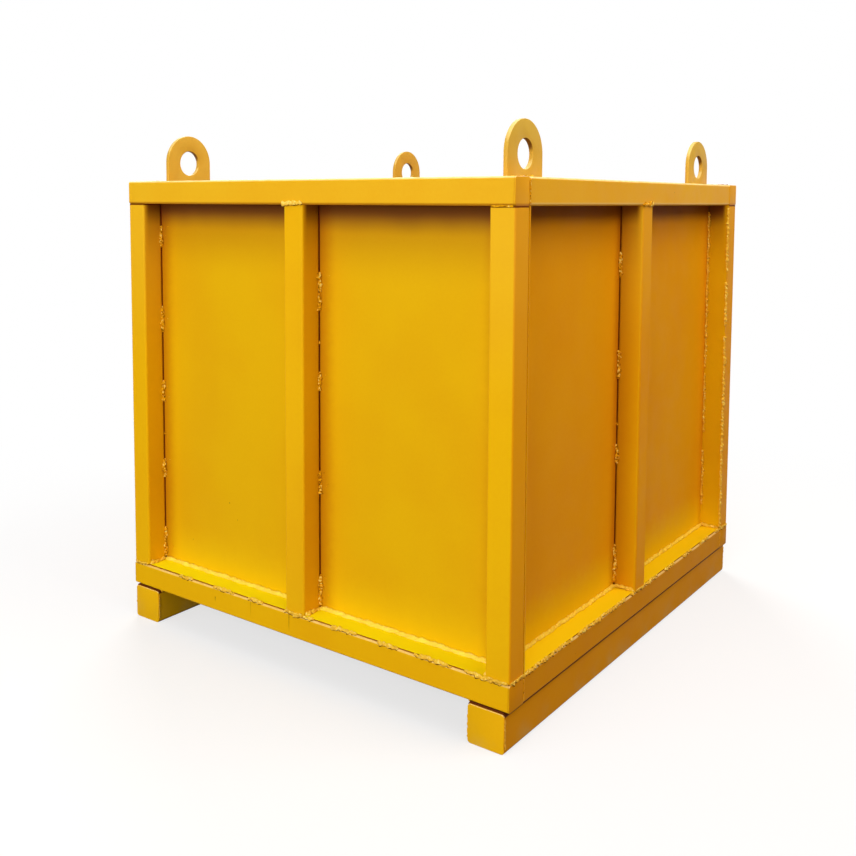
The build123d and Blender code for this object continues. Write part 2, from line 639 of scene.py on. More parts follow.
# Painted glints, and cream and lemon painted highlights on weld crowns
WELD_GLINT = Shade(255, 220, 104)
CREAM_PAINTED_HIGHLIGHT = Shade(255, 208, 78)
LEMON_PAINTED_LIGHT = Shade(255, 234, 84)
# Painted highlight on rounded edges that look up
EDGE_HIGHLIGHT_CREAM = Shade(255, 226, 150)
# Painted shade, multiplied into the faces that look out along x: the box's sides turn darker and more orange
SIDE_PAINTED_SHADE = Shade(250, 219, 250)
# Dark brown of pits and paint runs, and painted shade at bead toes and on the skids' and base frame's outer
# sides
DARK_MARK_AND_SHADE = Shade(128, 62, 6)
# Painted shade: red beside the posts and along the rails' lower edge; brown under the top rails and along
# the floor plate's edge; dark under the rails, over the skids, along the base's lower edge and at the skids'
# foot; and in the crevices
PAINTED_SHADE_RED = Shade(168, 64, 8)
PAINTED_SHADE_BROWN = Shade(158, 74, 14)
SHADED_COAT = Shade(104, 51, 21)
CREVICE_PAINTED_SHADE = Shade(106, 36, 8)
BARE_STEEL = Shade(152, 140, 120)
# Painted shade on faces that look down, such as the top of a lug's eye
UNDER_SHADE_BROWN = Shade(96, 58, 26)
SITE_DUST = Shade(200, 172, 112)
SPECK = Shade(110, 60, 16)
WHITE = Shade(255, 255, 255)


# Shader trees


@dataclass(frozen=True)
class Patches:
    """Uneven patches: a noise, and the step that turns it into a share."""

    scale: float
    detail: float
    low: float
    high: float
    first: float = 0.0
    last: float = 1.0


@dataclass
class Graph:
    """Adds and links the nodes of one shader tree."""

    tree: bpy.types.NodeTree

    def feed(self, socket: Socket, value: object) -> None:
        """Links an input to an output, or sets its value.

        Args:
            socket: The input.
            value: An output to link, or a plain value.
        """
        if isinstance(value, Socket):
            self.tree.links.new(value, socket)
        else:
            socket.default_value = value

    def node(self, kind: str, inputs: dict | None = None, **settings: object) -> bpy.types.Node:
        """Adds a node.

        Args:
            kind: Blender's name of the node type.
            inputs: What each input is fed, by name or number.
            settings: The node's own settings.

        Returns:
            The node.
        """
        made = self.tree.nodes.new(kind)
        for key, value in settings.items():
            setattr(made, key, value)
        for key, value in (inputs or {}).items():
            self.feed(made.inputs[key], value)
        return made

    def maths(self, operation: str, first: Value, second: Value = 0.0) -> Socket:
        """Adds a sum and returns its output."""
        return self.node("ShaderNodeMath", {0: first, 1: second}, operation=operation).outputs[0]

    def product(self, *factors: Value) -> Socket:
        """Multiplies two or more values and returns the result."""
        return functools.reduce(functools.partial(self.maths, "MULTIPLY"), factors)

    def ease(self, value: Value, low: Value, high: Value, first: float = 0.0, last: float = 1.0) -> Socket:
        """Turns a value into a smooth step, from first up to low to last from high."""
        inputs = {"Value": value, "From Min": low, "From Max": high, "To Min": first, "To Max": last}
        return self.node("ShaderNodeMapRange", inputs, interpolation_type="SMOOTHSTEP").outputs["Result"]

    def noise(self, vector: Socket, scale: float, detail: float = 2.0) -> Socket:
        """Adds a noise and returns its value."""
        inputs = {"Vector": vector, "Scale": scale, "Detail": detail}
        return self.node("ShaderNodeTexNoise", inputs).outputs["Fac"]

    def patches(self, kind: Patches, vector: Socket | None = None) -> Socket:
        """Lays patches over the piece, or along a vector, and returns how far they show."""
        noise = self.noise(self.place() if vector is None else vector, kind.scale, kind.detail)
        return self.ease(noise, kind.low, kind.high, kind.first, kind.last)

    def waver(self, noise: Socket, amount: Value) -> Socket:
        """Turns a noise into a shift to both sides, an amount from end to end."""
        return self.product(self.maths("SUBTRACT", noise, 0.5), amount)

    def blend(self, share: Value, first: Colour, second: Colour) -> Socket:
        """Mixes two colours by a share of the second and returns the mix."""
        inputs = {0: share, 6: first, 7: second}
        return self.node("ShaderNodeMix", inputs, data_type="RGBA").outputs[2]

    def tint(self, colour: Socket, share: Value, shade: Shade) -> Socket:
        """Mixes a share of a shade into a colour and returns the mix."""
        return self.blend(share, colour, shade.linear())

    def place(self) -> Socket:
        """The place on the piece, in the shared frame."""
        return self.node("ShaderNodeTexCoord").outputs["Object"]

    def normal(self) -> Socket:
        """The way that the surface looks."""
        return self.node("ShaderNodeTexCoord").outputs["Normal"]

    def part(self, vector: Socket, axis: Axis) -> Socket:
        """A vector's part along an axis."""
        return self.node("ShaderNodeSeparateXYZ", {0: vector}).outputs[axis.value]

    def distance(self, axis: Axis) -> Socket:
        """The distance from the box's middle plane, or the height, along an axis."""
        return self.maths("ABSOLUTE", self.part(self.place(), axis))

    def scaled(self, scale: Triple) -> Socket:
        """The place, scaled along each axis."""
        return self.node("ShaderNodeMapping", {"Vector": self.place(), "Scale": scale}).outputs["Vector"]

    def effect(self, build: Callable[["Effects"], Socket], **inputs: object) -> Socket:
        """Places a shared effect, whose node group is built at its first use, and returns its one output."""
        group = bpy.data.node_groups.get(build.__name__) or Effects.group(build, inputs)
        return self.node("ShaderNodeGroup", inputs, node_tree=group).outputs[0]


class Effects(Graph):
    """The effects that the finishes share: each method fills a node group and returns what it puts out."""

    # Pairs are where a step starts and where it ends
    CLOUDS = Patches(4.2, 3.0, 0.36, 0.72, 0.0, 0.6)
    STREAKS = Patches(1.0, 2.0, 0.4, 0.75, 0.0, 0.3)
    STREAK_SCALE = (7.0, 7.0, 1.3)
    GRAIN = Patches(170.0, 2.0, 0.3, 0.8, 0.0, 0.22)
    # Where the painted side shade starts and ends
    ASIDE = (0.2, 0.4)
    PEEL_SCALE = 300.0
    WAVE_SCALE = 5.0
    SEAM_SCALE = 60.0
    # The painted shade below the top rails
    RAIL_SCALE = (7.0, 7.0, 3.0)
    RAIL_WAVER = 0.016
    RAIL_DEPTHS = (0.004, 0.016)
    FLATTEN = (1.0, 1.0, 0.0)
    # The painted highlight on rounded edges that look up
    EDGE_START = (0.25, 0.5)
    EDGE_END = (0.93, 0.995)
    EDGE_HIGHLIGHT_PATCHES = Patches(38.0, 3.0, 0.3, 0.62, 0.6)
    DUST = Patches(14.0, 4.0, 0.42, 0.7)
    SPECK_CELLS = 42.0
    SPECK_LEAST = 0.02
    SPECK_SPREAD = 0.035
    RUN_SCALE = 90.0
    RUN_WAVER = 0.003
    RUN_TAPER = 0.6
    RUN_DEPTH = 0.001
    SCRATCHED = Patches(6.0, 3.0, 0.42, 0.62)
    NICKS = Patches(90.0, 2.0, 0.66, 0.7)
    STROKES = Patches(1.0, 1.0, 0.66, 0.73)
    STROKE_SIZE = (0.25, 0.0033, 0.0033)
    STROKE_TURNS_DEG = (-17.0, 11.0, 64.0, 98.0)
    # The painted shade on faces that look down
    DOWNWARD = (-0.55, -0.1)

    @classmethod
    def group(cls, build: Callable[["Effects"], Socket], inputs: dict[str, object]) -> bpy.types.NodeTree:
        """Builds an effect's node group.

        Args:
            build: The effect.
            inputs: What its first use feeds its inputs, by name. Colours are tuples.

        Returns:
            The group.
        """
        tree = bpy.data.node_groups.new(build.__name__, "ShaderNodeTree")
        for name, value in inputs.items():
            kind = "NodeSocketColor" if isinstance(value, tuple) else "NodeSocketFloat"
            tree.interface.new_socket(name=name, in_out="INPUT", socket_type=kind)
        made = cls(tree)
        made.node("NodeGroupInput", name="taken")
        result = build(made)
        kind = "NodeSocketColor" if result.type == "RGBA" else "NodeSocketFloat"
        tree.interface.new_socket(name="result", in_out="OUTPUT", socket_type=kind)
        made.node("NodeGroupOutput", {0: result})
        return tree

    def taken(self, name: str) -> Socket:
        """One of the group's inputs."""
        return self.tree.nodes["taken"].outputs[name]

    def spray_coat(self) -> Socket:
        """Uneven colour of a coat that was sprayed by hand, with a painted shade multiplied into the faces
        that look out along x.

        Returns:
            A colour.
        """
        streaks = self.patches(self.STREAKS, self.scaled(self.STREAK_SCALE))
        uneven = self.maths("ADD", self.patches(self.CLOUDS), streaks)
        uneven = self.maths("ADD", uneven, self.patches(self.GRAIN))
        coat = self.blend(self.product(uneven, self.taken("amount")), self.taken("coat"), self.taken("thin"))
        # Painted shade on the faces that lie out along x and look that way
        outward = self.product(self.part(self.place(), Axis.X), self.part(self.normal(), Axis.X))
        aside = self.product(self.ease(outward, *self.ASIDE), self.taken("side_share"))
        toned = self.blend(aside, coat, self.taken("tone"))
        toned.node.blend_type = "MULTIPLY"
        return toned

    def paint_skin(self) -> Socket:
        """The skin of the paint: a fine peel, and the broad waves of the sheet under it.

        Returns:
            A height in metres.
        """
        peel = self.product(self.noise(self.place(), self.PEEL_SCALE, 1.0), self.taken("peel"))
        waves = self.product(self.noise(self.place(), self.WAVE_SCALE, 1.0), self.taken("waves"))
        return self.maths("ADD", peel, waves)

    def seam_shadow(self) -> Socket:
        """A band along a seam that fades out to both sides, where the seams lay their painted shade and
        painted light.

        Returns:
            A mask.
        """
        shift = self.waver(self.noise(self.place(), self.SEAM_SCALE), self.taken("waver"))
        distance = self.maths("ADD", self.maths("ABSOLUTE", self.taken("distance")), shift)
        edge = self.maths("ADD", self.taken("reach"), self.taken("fade"))
        return self.ease(distance, self.taken("reach"), edge, 1.0, 0.0)

    def under_rail(self) -> Socket:
        """Painted shade on what lies back under the top rails, darkest just under them.

        Returns:
            A mask.
        """
        uneven = self.waver(self.noise(self.scaled(self.RAIL_SCALE), 1.0), self.RAIL_WAVER)
        high = self.maths("SUBTRACT", self.maths("ADD", self.taken("level"), uneven), self.taken("reach"))
        low = self.maths("SUBTRACT", high, self.taken("fade"))
        mask = self.ease(self.distance(Axis.Z), low, high)
        for axis, limit in ((Axis.X, "outer_x"), (Axis.Y, "outer_y")):
            depth = self.maths("SUBTRACT", self.taken(limit), self.distance(axis))
            mask = self.product(mask, self.ease(depth, *self.RAIL_DEPTHS))
        return mask

    def outer_face(self) -> Socket:
        """Tells the faces that look out of the box from those that look in.

        Returns:
            A mask.
        """
        flat = {0: self.place(), 1: self.FLATTEN}
        level = self.node("ShaderNodeVectorMath", flat, operation="MULTIPLY").outputs["Vector"]
        pair = {0: level, 1: self.normal()}
        outward = self.node("ShaderNodeVectorMath", pair, operation="DOT_PRODUCT").outputs["Value"]
        beside = self.maths("GREATER_THAN", self.distance(Axis.X), self.taken("recess_x"))
        return self.maths("MAXIMUM", self.maths("GREATER_THAN", outward, 0.0), beside)

    def painted_edge_highlight(self) -> Socket:
        """A painted highlight on the rounded edges that look up, in patches.

        Returns:
            A mask.
        """
        lift = self.part(self.normal(), Axis.Z)
        edge = self.product(self.ease(lift, *self.EDGE_START), self.ease(lift, *self.EDGE_END, 1.0, 0.0))
        return self.product(edge, self.patches(self.EDGE_HIGHLIGHT_PATCHES), self.taken("amount"))

    def low_dust(self) -> Socket:
        """A mask of the dust that settles low on the box."""
        low = self.ease(self.distance(Axis.Z), 0.0, self.taken("clear_height"), 1.0, 0.0)
        return self.product(low, self.patches(self.DUST))

    def specks(self) -> Socket:
        """Small dark specks of grit in the coat, a few to a hand's breadth.

        Returns:
            A mask.
        """
        cells = self.node("ShaderNodeTexVoronoi", {"Vector": self.place(), "Scale": self.SPECK_CELLS})
        lot = self.node("ShaderNodeSeparateColor", {0: cells.outputs["Color"]})
        chosen = self.maths("LESS_THAN", lot.outputs[0], self.taken("share"))
        size = self.maths("ADD", self.product(lot.outputs[1], self.SPECK_SPREAD), self.SPECK_LEAST)
        return self.product(chosen, self.maths("LESS_THAN", cells.outputs["Distance"], size))

    def paint_run(self) -> Socket:
        """A run of paint that hangs down one side.

        Returns:
            A mask.
        """
        x, y, z = (self.part(self.place(), axis) for axis in Axis)
        sideways, top = self.taken("sideways"), self.taken("top")
        level = self.node("ShaderNodeMix", {0: sideways, 2: x, 3: y}).outputs[0]
        outward = self.node("ShaderNodeMix", {0: sideways, 2: y, 3: x}).outputs[0]
        depth = self.maths("SUBTRACT", self.taken("outer"), self.product(outward, self.taken("sign")))
        waver = self.waver(self.noise(self.place(), self.RUN_SCALE), self.RUN_WAVER)
        offset = self.maths("SUBTRACT", self.maths("ADD", level, waver), self.taken("at"))
        line = self.ease(self.maths("ABSOLUTE", offset), 0.0, self.taken("width"), 1.0, 0.0)
        length = self.maths("POWER", self.ease(z, self.taken("bottom"), top), self.RUN_TAPER)
        below = self.maths("LESS_THAN", z, top)
        return self.product(line, length, below, self.maths("LESS_THAN", depth, self.RUN_DEPTH))

    def inside_box(self) -> Socket:
        """Tells the inside of the box from the outside.

        Returns:
            A mask.
        """
        across = self.maths("LESS_THAN", self.distance(Axis.X), self.taken("inner_x"))
        along = self.maths("LESS_THAN", self.distance(Axis.Y), self.taken("inner_y"))
        return self.product(across, along)

    def scuffs(self) -> Socket:
        """Scratches of a load that was slid about, in patches.

        Returns:
            A mask.
        """
        strokes = self.patches(self.NICKS)
        for turn in self.STROKE_TURNS_DEG:
            rotation = (0.0, 0.0, math.radians(turn))
            inputs = {"Vector": self.place(), "Rotation": rotation, "Scale": self.STROKE_SIZE}
            lines = self.node("ShaderNodeMapping", inputs, vector_type="TEXTURE").outputs["Vector"]
            strokes = self.maths("MAXIMUM", strokes, self.patches(self.STROKES, lines))
        return self.product(strokes, self.patches(self.SCRATCHED))

    def painted_under_shade(self) -> Socket:
        """A mask of painted shade on the faces that look down, such as the top of an eye."""
        lift = self.part(self.normal(), Axis.Z)
        return self.product(self.ease(lift, *self.DOWNWARD, 1.0, 0.0), self.taken("amount"))


# Finishes


@dataclass(frozen=True)
class Seam:
    """A line at the same distance each side of the box's middle plane, where another shade is mixed into the
    coat: mostly painted shade, some painted light.
    """

    axis: Axis
    place: float
    reach: float
    fade: float = 0.0008
    amount: float = 1.0
    shade: Shade = CREVICE_PAINTED_SHADE
    waver: float = 0.0008
    outside: bool = False

    SOFT_FADE = 0.01

    @property
    def soft(self) -> bool:
        """Whether it is a broad change of tone, which the shade under the rails covers."""
        return self.fade > self.SOFT_FADE

    def mask(self, graph: Graph) -> Socket:
        """How far the seam shows.

        Args:
            graph: The material's graph.

        Returns:
            A mask.
        """
        distance = graph.maths("SUBTRACT", graph.distance(self.axis), self.place)
        inputs = {"distance": distance, "reach": self.reach, "fade": self.fade, "waver": self.waver}
        return graph.product(graph.effect(Effects.seam_shadow, **inputs), self.amount)


@dataclass(frozen=True)
class Overhang:
    """How the painted shade below the top rails falls off."""

    level: float
    outer_x: float
    outer_y: float
    reach: float = 0.01
    fade: float = 0.05
    amount: float = 0.9
    tail: float = 0.15
    tail_amount: float = 0.42


@dataclass(frozen=True)
class PaintRun:
    """A run of thick paint down the outer face of a side."""

    side: Side
    outer: float
    place: float
    top: float
    bottom: float
    width: float = 0.0018
    amount: float = 0.5

    def mask(self, graph: Graph) -> Socket:
        """How far the run shows.

        Args:
            graph: The material's graph.

        Returns:
            A mask.
        """
        inputs = {"sideways": float(not self.side.is_end), "sign": self.side.sign, "outer": self.outer}
        inputs |= {"at": self.place, "top": self.top, "bottom": self.bottom, "width": self.width}
        return graph.product(graph.effect(Effects.paint_run, **inputs), self.amount)


@dataclass(frozen=True)
class Interior:
    """How the load wears the inside of the box."""

    inner_x: float
    inner_y: float
    scuffed: float = 0.5
    dusty: float = 0.5
    dust_top: float = 0.4

    def worn(self, graph: Graph, colour: Socket) -> Socket:
        """Lays dust and scratches over the coat inside.

        Args:
            graph: The material's graph.
            colour: The colour so far.

        Returns:
            The worn colour.
        """
        within = graph.effect(Effects.inside_box, inner_x=self.inner_x, inner_y=self.inner_y)
        dust = graph.effect(Effects.low_dust, clear_height=self.dust_top)
        colour = graph.tint(colour, graph.product(dust, within, self.dusty), SITE_DUST)
        scuffs = graph.product(graph.effect(Effects.scuffs), within, self.scuffed)
        return graph.tint(colour, scuffs, BARE_STEEL)


@dataclass(frozen=True)
class Enamel:
    """Sprayed yellow enamel on steel."""

    # Farther out than any face of the box
    NO_RECESS = 9.0

    name: str
    coat: Shade = YELLOW
    thin: Shade = AMBER
    cloud: float = 0.5
    # How much of the painted side shade the faces that look out along x take
    side_share: float = 1.0
    roughness: float = 0.42
    specular: float = 0.04
    peel: float = 0.000025
    waves: float = 0.0
    dust_height: float = 0.0
    speck_share: float = 0.04
    # How much painted highlight the rounded edges that look up take
    rubbed: float = 0.0
    seams: tuple[Seam, ...] = ()
    # The painted shade below the top rails
    overhang: Overhang | None = None
    recess_x: float = NO_RECESS
    beads: bool = False
    runs: tuple[PaintRun, ...] = ()
    interior: Interior | None = None
    # How much painted shade the faces that look down take
    under_shade_share: float = 0.0

    # The scale and detail of a noise, and where its step starts and ends
    GLOSS = (26.0, 3.0, 0.3, 0.7)
    ROUGHNESS_SPREAD = 0.06
    DUST_SHARE = 0.35
    SPECK_DEPTH = 0.7
    DROP_SCALE = 210.0
    # The painted glints on the beads' crowns
    GLINT_START = 0.63
    GLINT_GAIN = 0.12
    GLINT_STEP = 0.06
    # Where a step starts and ends, and what it goes from and to if not from 0 to 1
    PITTED = (0.36, 0.46, 0.7, 0.0)
    # The beads' painted light: lemon on crowns that look up, cream on the crown, glints where raised; and
    # painted shade at the toe
    UPWARD = (0.3, 0.75)
    CROWN = (0.25, 0.7)
    LIT = (0.3, 0.6)
    TOE = (0.2, 0.7, 0.9, 0.0)

    def lined(self, graph: Graph, colour: Socket, soft: bool) -> Socket:
        """Lays the seams over a colour.

        Args:
            graph: The material's graph.
            colour: The colour so far.
            soft: Whether the broad changes of tone are laid, or the sharp lines.

        Returns:
            The colour with the seams.
        """
        for seam in (seam for seam in self.seams if seam.soft is soft):
            mask = seam.mask(graph)
            if seam.outside:
                recess = self.recess_x if seam.axis is Axis.Z else self.NO_RECESS
                mask = graph.product(mask, graph.effect(Effects.outer_face, recess_x=recess))
            colour = graph.tint(colour, mask, seam.shade)
        return colour

    def shaded(self, graph: Graph, colour: Socket) -> Socket:
        """Lays the shade below the top rails over a colour, a long tail and a dark band.

        Args:
            graph: The material's graph.
            colour: The colour so far.

        Returns:
            The colour with the shade.
        """
        over = self.overhang
        inputs = {"level": over.level, "reach": over.reach, "outer_x": over.outer_x, "outer_y": over.outer_y}
        bands = ((over.tail, over.tail_amount, PAINTED_SHADE_BROWN), (over.fade, over.amount, SHADED_COAT))
        for fade, amount, shade in bands:
            mask = graph.product(graph.effect(Effects.under_rail, fade=fade, **inputs), amount)
            if any(seam.outside for seam in self.seams):
                mask = graph.product(mask, graph.effect(Effects.outer_face, recess_x=self.recess_x))
            colour = graph.tint(colour, mask, shade)
        return colour

    def bead_marks(self, graph: Graph, colour: Socket) -> Socket:
        """Colours beads by what their vertices are marked with: real pits, and painted light and shade.

        Args:
            graph: The material's graph.
            colour: The colour so far.

        Returns:
            The colour with pits, painted highlights on the crowns, painted glints and painted shade at the
            toes.
        """
        marks = [graph.node("ShaderNodeAttribute", attribute_name=name) for name in Bead.MARKS]
        relief, pale, glint, lemon, pitted = (mark.outputs["Fac"] for mark in marks)
        drops = graph.noise(graph.place(), self.DROP_SCALE, 1.0)
        rough = graph.maths("SUBTRACT", 1.0, pale)
        pits = graph.product(graph.ease(drops, *self.PITTED), rough, pitted)
        start = graph.maths("SUBTRACT", self.GLINT_START, graph.product(glint, self.GLINT_GAIN))
        bright = graph.ease(drops, start, graph.maths("ADD", start, self.GLINT_STEP))
        # Painted light: the crown is lemon where it looks up, cream elsewhere
        upward = graph.ease(graph.part(graph.normal(), Axis.Z), *self.UPWARD)
        lemon_share = graph.maths("MAXIMUM", upward, lemon)
        crown = graph.blend(lemon_share, CREAM_PAINTED_HIGHLIGHT.linear(), LEMON_PAINTED_LIGHT.linear())
        colour = graph.tint(colour, pits, DARK_MARK_AND_SHADE)
        colour = graph.blend(graph.product(graph.ease(relief, *self.CROWN), pale), colour, crown)
        colour = graph.tint(colour, graph.product(bright, graph.ease(relief, *self.LIT)), WELD_GLINT)
        return graph.tint(colour, graph.ease(relief, *self.TOE), DARK_MARK_AND_SHADE)

    def colour(self, graph: Graph) -> Socket:
        """Builds the coat's colour.

        Args:
            graph: The material's graph.

        Returns:
            The colour's output.
        """
        shades = {"coat": self.coat.linear(), "thin": self.thin.linear(), "tone": SIDE_PAINTED_SHADE.linear()}
        colour = graph.effect(Effects.spray_coat, **shades, amount=self.cloud, side_share=self.side_share)
        # Broad seams: painted shade beside the posts, painted light towards the posts' heads, and yellower
        # feet
        colour = self.lined(graph, colour, soft=True)
        # Painted shade below the top rails
        if self.overhang:
            colour = self.shaded(graph, colour)
        # Sharp seams: painted shade in crevices and gaps, painted light and shade on the ledges
        colour = self.lined(graph, colour, soft=False)
        if self.beads:
            colour = self.bead_marks(graph, colour)
        # Painted highlight on the rounded edges that look up
        if self.rubbed:
            colour = graph.tint(colour, graph.effect(Effects.painted_edge_highlight, amount=self.rubbed), EDGE_HIGHLIGHT_CREAM)
        if self.dust_height:
            dust = graph.effect(Effects.low_dust, clear_height=self.dust_height)
            colour = graph.tint(colour, graph.product(dust, self.DUST_SHARE), SITE_DUST)
        for run in self.runs:
            colour = graph.tint(colour, run.mask(graph), DARK_MARK_AND_SHADE)
        if self.interior:
            colour = self.interior.worn(graph, colour)
        # Painted shade on the faces that look down
        if self.under_shade_share:
            colour = graph.tint(colour, graph.effect(Effects.painted_under_shade, amount=self.under_shade_share), UNDER_SHADE_BROWN)
        specks = graph.effect(Effects.specks, share=self.speck_share)
        return graph.tint(colour, graph.product(specks, self.SPECK_DEPTH), SPECK)

    def build(self) -> Material:
        """Builds the material.

        Returns:
            The material.
        """
        material = bpy.data.materials.new(f"{self.name}_enamel")
        material.use_nodes = True
        graph = Graph(material.node_tree)
        ends = (self.roughness - self.ROUGHNESS_SPREAD, self.roughness + self.ROUGHNESS_SPREAD)
        skin = graph.effect(Effects.paint_skin, peel=self.peel, waves=self.waves)
        bump = graph.node("ShaderNodeBump", {"Height": skin, "Strength": 1.0, "Distance": 1.0})
        inputs = {
            "Base Color": self.colour(graph),
            "Roughness": graph.patches(Patches(*self.GLOSS, *ends)),
            "Specular IOR Level": self.specular,
            "Normal": bump.outputs["Normal"],
        }
        for name, value in inputs.items():
            graph.feed(material.node_tree.nodes["Principled BSDF"].inputs[name], value)
        return material


@dataclass
class PaintShop:
    """Every finish of the box."""

    box: BoxFrame

    # How far painted shade reaches in the crevices, the gap over the skids, the seam under the posts' heads,
    # the plate's edge, the base's lower edge and the skids' foot; the ledges' width; and how high the rails'
    # painted highlight sits
    CREVICE = 0.0012
    SKID_GAP = 0.0062
    HEAD_GAP = 0.0024
    LEDGE_WIDTH = 0.053
    PLATE_EDGE = 0.0026
    LOWER_EDGE = 0.0012
    SCUFFED_AND_SHADED_FOOT = 0.0034
    RAIL_LIP = 0.0042
    INSIDE_SLACK = 0.0004

    def __post_init__(self) -> None:
        """Mixes the finishes."""
        box = self.box
        edges = (box.rail_bottom, box.half_width, box.half_depth)
        # The painted shade below the top rails, on the sheets and the posts
        self.end_overhang = Overhang(*edges)
        self.side_overhang = Overhang(*edges, 0.004, 0.042, 0.74, tail_amount=0.3)
        self.post_overhang = Overhang(*edges, 0.004, amount=0.78, tail_amount=0.3)
        self.interior = Interior(box.panel_in_x + self.INSIDE_SLACK, box.panel_in_y + self.INSIDE_SLACK)
        enamels = (*self.base_enamels(), *self.frame_enamels(), *self.panel_enamels(), *self.bare_enamels())
        self.finishes = {enamel.name: enamel.build() for enamel in enamels}

    def base_enamels(self) -> list[Enamel]:
        """The finishes of the skids, the base frame and the floor plate.

        Returns:
            The finishes.
        """
        box = self.box
        # Painted shade on the skids' outer sides and where the base frame overhangs them; along their foot,
        # scuffs and painted shade
        skid = (
            Seam(Axis.X, box.skid_out, 0.002, 0.002, 0.16, DARK_MARK_AND_SHADE),
            Seam(Axis.Z, box.base_bottom, self.SKID_GAP, 0.004, shade=SHADED_COAT),
            Seam(Axis.Z, 0.0, self.SCUFFED_AND_SHADED_FOOT, 0.002, 0.65, SHADED_COAT, 0.003),
        )
        # Painted shade on the base frame's outer sides and along its lower edge
        base = (
            Seam(Axis.X, box.half_width, 0.002, 0.002, 0.2, DARK_MARK_AND_SHADE),
            Seam(Axis.Z, box.base_bottom, self.LOWER_EDGE, 0.0012, 0.6, SHADED_COAT),
        )
        # Painted light on the front and rear ledges, painted shade on the side ledges and along the plate's
        # edge
        plate = (
            Seam(Axis.Y, box.half_depth, self.LEDGE_WIDTH, 0.004, 0.95, LEDGE_PAINTED_LIGHT, 0.002),
            Seam(Axis.X, box.half_width, self.LEDGE_WIDTH, 0.004, 0.9, SIDE_LEDGE_PAINTED_SHADE, 0.002),
            Seam(Axis.Z, box.floor_bottom, self.PLATE_EDGE, 0.0003, 0.95, PAINTED_SHADE_BROWN, 0.0002),
        )
        runs = (
            PaintRun(Side.FRONT, box.half_depth, -0.016, 0.122, 0.084, amount=0.75),
            PaintRun(Side.FRONT, box.half_depth, -0.125, 0.124, 0.086, amount=0.4),
            PaintRun(Side.FRONT, box.half_depth, -0.232, 0.106, 0.094, 0.003, 0.6),
            PaintRun(Side.REAR, box.half_depth, 0.21, 0.123, 0.09),
            PaintRun(Side.LEFT, box.half_width, -0.18, 0.122, 0.083),
        )
        return [
            Enamel("skid", specular=0.01, dust_height=0.05, speck_share=0.08, seams=skid),
            Enamel("skid_cap", dust_height=0.05, speck_share=0.1, rubbed=0.9),
            Enamel("base", specular=0.01, speck_share=0.1, rubbed=0.6, seams=base, runs=runs),
            Enamel("floor", specular=0.005, speck_share=0.1, seams=plate, interior=self.interior),
        ]

    def frame_enamels(self) -> list[Enamel]:
        """The finishes of the posts and the top rails.

        Returns:
            The finishes.
        """
        box = self.box
        # Painted light: the posts turn paler towards their heads. Painted shade in the seam under the corner
        # posts' heads.
        painted_head_light = Seam(Axis.Z, box.rail_bottom, 0.0, 0.4, 0.16, CREAM_PAINTED_HIGHLIGHT, 0.02)
        under_head = Seam(Axis.Z, box.rail_bottom, self.HEAD_GAP, 0.0009, 0.9, waver=0.0016)
        # Painted shade on the end posts beside the sheets, and in the crevice there
        behind_end_post = (
            Seam(Axis.Y, box.inner_y, 0.0, 0.03, 0.08, PAINTED_SHADE_RED, 0.004),
            Seam(Axis.Y, box.inner_y, self.CREVICE),
        )
        # Painted shade on the side posts beside the sheets, and in the crevice there
        behind_side_post = (
            painted_head_light,
            Seam(Axis.X, box.inner_x, 0.0, 0.055, 0.42, PAINTED_SHADE_RED, 0.004),
            Seam(Axis.X, box.inner_x, self.CREVICE),
        )
        # Painted shade along the rails' lower edge
        rail_foot = Seam(Axis.Z, box.rail_bottom, 0.0026, 0.003, 0.45, PAINTED_SHADE_RED)
        # A painted highlight just above the side rails' lower edge
        rail_lip_highlight = Seam(Axis.Z, box.rail_bottom + self.RAIL_LIP, 0.0008, 0.0016, 0.3, EDGE_HIGHLIGHT_CREAM)
        posts = {"specular": 0.015, "overhang": self.post_overhang}
        rails = {"coat": TOP_YELLOW, "specular": 0.06, "rubbed": 0.9}
        return [
            Enamel("corner_post", seams=(painted_head_light, under_head), **posts),
            Enamel("end_post", seams=behind_end_post, overhang=self.post_overhang),
            Enamel("side_post", specular=0.015, seams=behind_side_post, overhang=self.side_overhang),
            Enamel("rail", side_share=0.66, seams=(rail_foot,), **rails),
            Enamel("side_rail", side_share=0.45, seams=(rail_lip_highlight,), **rails),
        ]

    def panel_enamels(self) -> list[Enamel]:
        """The finishes of the wall panels.

        Returns:
            The finishes.
        """
        box = self.box
        ends = [Seam(Axis.Z, box.floor_top, 0.0, 0.11, 0.5, FOOT_YELLOW, 0.03, True)]
        # Painted shadow on the sheets beside the posts, and painted shade in the crevices along them
        ends += [Seam(Axis.X, x, 0.0, 0.05, 0.5, PAINTED_SHADE_RED, 0.01, True) for x in (box.post_half, box.inner_x)]
        ends += [Seam(Axis.X, x, self.CREVICE, outside=True) for x in (box.post_half, box.inner_x)]
        sides = (
            Seam(Axis.Z, box.floor_top, 0.0, 0.11, 0.6, FOOT_YELLOW, 0.03, True),
            # Painted shadow on the side sheets beside the mid posts, and painted shade in the crevice
            Seam(Axis.Y, box.post_half, 0.0, 0.036, 0.3, PAINTED_SHADE_RED, 0.01, True),
            Seam(Axis.Y, box.post_half, self.CREVICE, outside=True),
        )
        both = {"waves": 0.0012, "interior": self.interior}
        coats = {"coat": PANEL_YELLOW, "thin": PANEL_AMBER, "overhang": self.end_overhang}
        return [
            Enamel("end_panel", seams=tuple(ends), recess_x=box.inner_x, **coats, **both),
            Enamel("side_panel", specular=0.015, seams=sides, overhang=self.side_overhang, **both),
        ]

